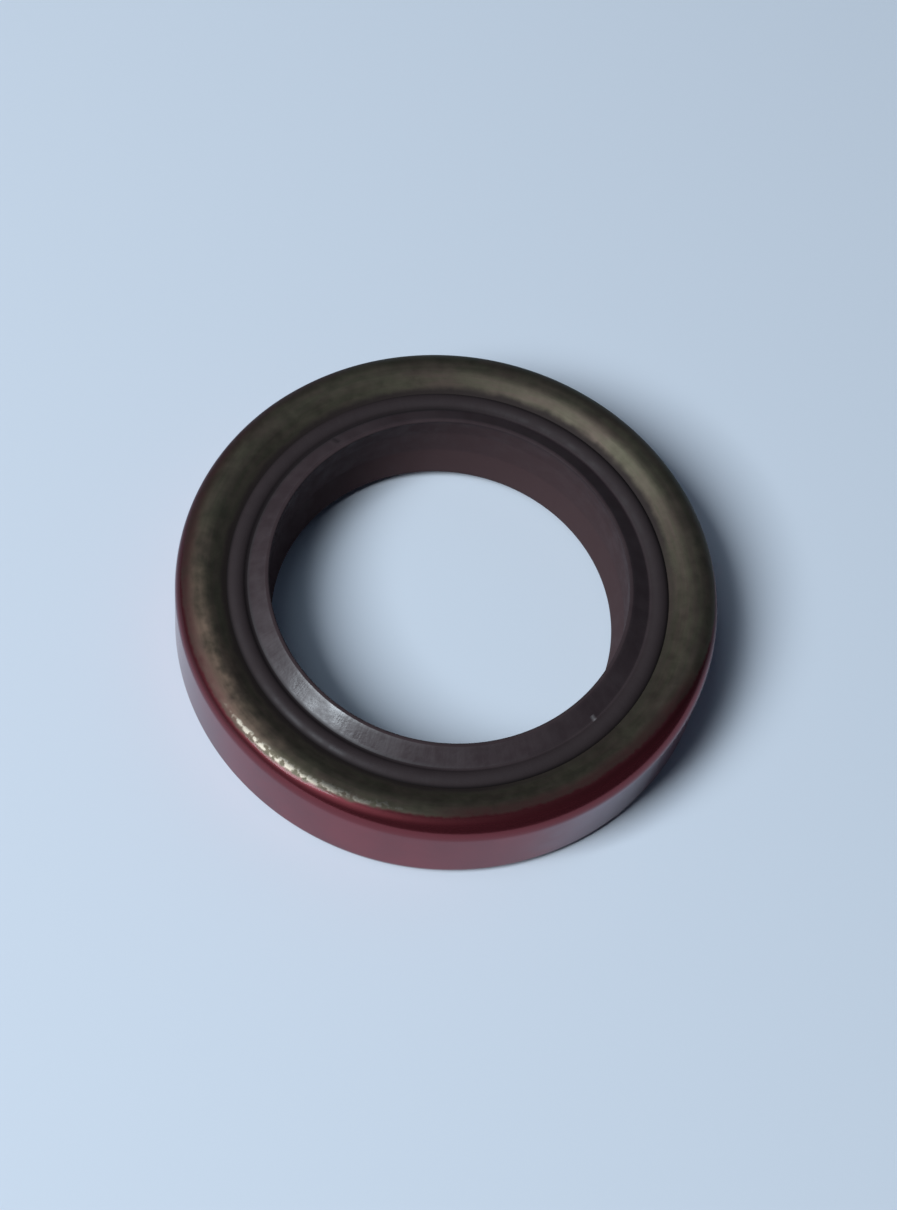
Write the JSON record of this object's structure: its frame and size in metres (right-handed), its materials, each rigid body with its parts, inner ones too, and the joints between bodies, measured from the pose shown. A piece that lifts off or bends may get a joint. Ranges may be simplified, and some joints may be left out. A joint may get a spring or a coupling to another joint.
{
  "type": "radial shaft seal",
  "caption": "Ring seal for a rotating shaft: a pressed steel case with a bonded rubber lip and a spring, pressed into a housing bore.",
  "frame": {"origin": "on the seal's axis, in the plane of the case's rim on the oil side", "axes": "+Z along the axis towards the air side, where the flange and the dust lip are; X and Y are any two directions across"},
  "size_m": [0.042, 0.042, 0.0083],
  "materials": {
    "coated_steel": "phosphated steel sheet, bare on the flange, with a glossy dark red sealing coat on the outside",
    "lip_rubber": "moulded brown-black rubber with a soft sheen",
    "spring_steel": "bright drawn spring wire"
  },
  "bodies": {
    "root": {"outer_case": "coated_steel", "sealing_lip": "lip_rubber", "garter_spring": "spring_steel"}
  },
  "joints": []
}
